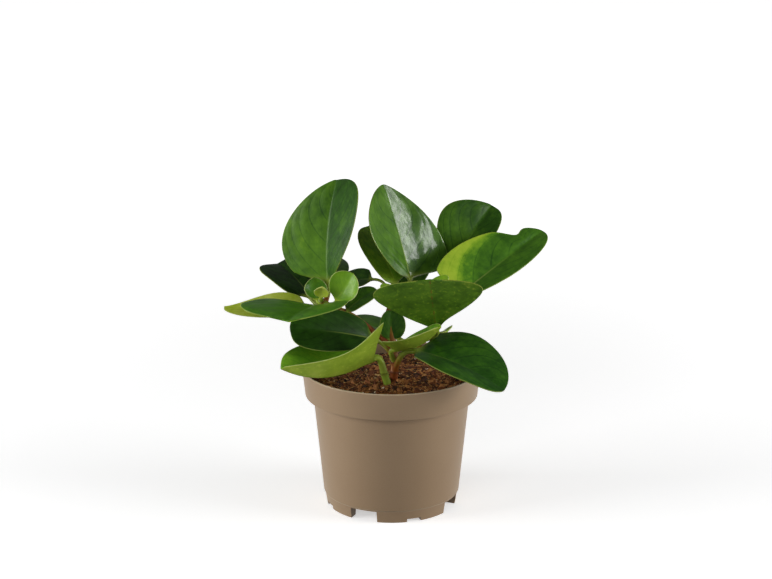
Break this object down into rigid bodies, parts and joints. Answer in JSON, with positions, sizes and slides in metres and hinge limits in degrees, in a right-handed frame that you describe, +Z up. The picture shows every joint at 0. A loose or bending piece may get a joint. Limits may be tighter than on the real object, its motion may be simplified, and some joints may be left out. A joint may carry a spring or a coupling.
{
  "type": "potted peperomia",
  "caption": "House plant with thick glossy obovate leaves on short branching stems, standing in soil in a plain tapered nursery pot with a deep rim collar and a notched foot.",
  "frame": {"origin": "on the ground under the middle of the pot", "axes": "+Z up through the pot, -Y the front that the picture shows, +X to the viewer's right"},
  "size_m": [0.2175, 0.1384, 0.2203],
  "materials": {
    "pot_plastic": "moulded taupe plastic with a fine satin grain, unprinted",
    "potting_soil": "crumbly dark brown peat and coir with pale fibres",
    "stem_skin": "smooth reddish brown succulent stem, greener towards the tips",
    "leaf_mature": "thick waxy deep green leaf with a paler underside, sunken midrib and pale edge",
    "leaf_young": "thick waxy yellow-green young leaf with a pale edge"
  },
  "bodies": {
    "root": {"pot": "pot_plastic", "stem_main": "stem_skin", "stem_left": "stem_skin", "stem_low": "stem_skin", "stem_back": "stem_skin", "leaf_left_upright": "leaf_mature", "leaf_top_centre": "leaf_mature", "leaf_behind_top": "leaf_mature", "leaf_back_right": "leaf_mature", "leaf_right": "leaf_mature", "leaf_front_centre": "leaf_mature", "leaf_lower_right": "leaf_mature", "leaf_lower_right_back": "leaf_young", "leaf_front_small": "leaf_young", "leaf_stem_upright": "leaf_mature", "leaf_lower_left_front": "leaf_young", "leaf_lower_left_back": "leaf_mature", "leaf_left_front": "leaf_mature", "leaf_far_left": "leaf_young", "leaf_left_dark": "leaf_mature", "leaf_young_cup": "leaf_young", "leaf_bud": "leaf_young", "leaf_young_bright": "leaf_young", "leaf_left_back_upper": "leaf_mature", "leaf_left_back_lower": "leaf_mature", "leaf_centre_bud": "leaf_young", "leaf_centre_young": "leaf_young", "leaf_back_low": "leaf_mature", "leaf_back_low_left": "leaf_mature", "leaf_back_left": "leaf_mature", "leaf_back_centre": "leaf_mature", "leaf_back_far": "leaf_mature", "soil": "potting_soil"}
  },
  "joints": []
}
